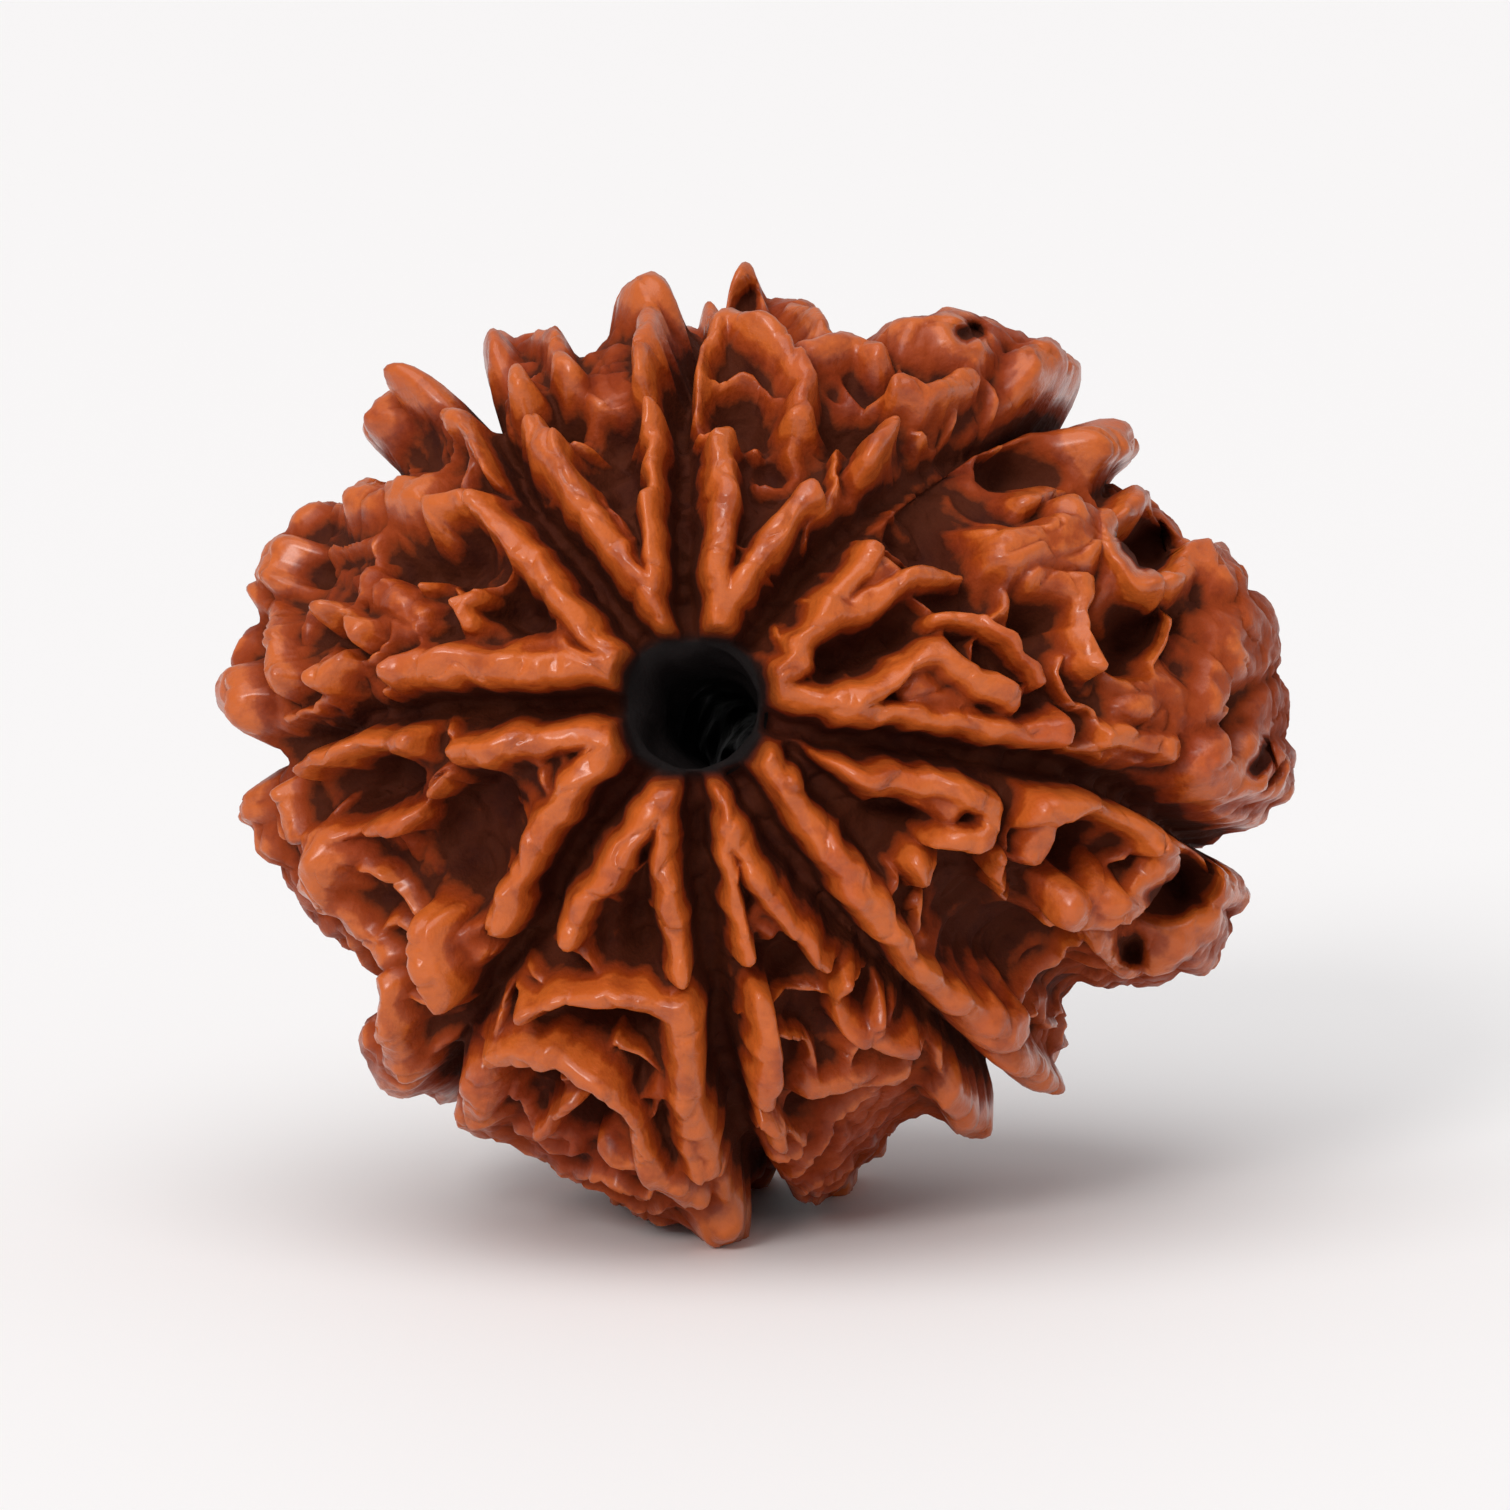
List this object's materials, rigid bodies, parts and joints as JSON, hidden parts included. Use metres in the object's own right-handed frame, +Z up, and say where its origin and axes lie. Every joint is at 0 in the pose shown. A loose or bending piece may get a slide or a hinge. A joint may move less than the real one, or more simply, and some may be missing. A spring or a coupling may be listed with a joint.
{
  "type": "rudraksha bead",
  "caption": "Natural rudraksha bead: a woody ribbed seed stone parted by furrows from mouth to mouth, with a hole through it for stringing.",
  "frame": {"origin": "on the surface that it stands on, under the middle of the bead's box", "axes": "+Z up, +X to the right along the bead's greatest width, -Y out of the front mouth of its hole, towards the viewer"},
  "size_m": [0.0252, 0.0192, 0.0225],
  "materials": {
    "seed_stone": "oiled woody stone, orange-brown on the crests and near black in the furrows, with a low sheen"
  },
  "bodies": {
    "root": {"bead": "seed_stone"}
  },
  "joints": []
}
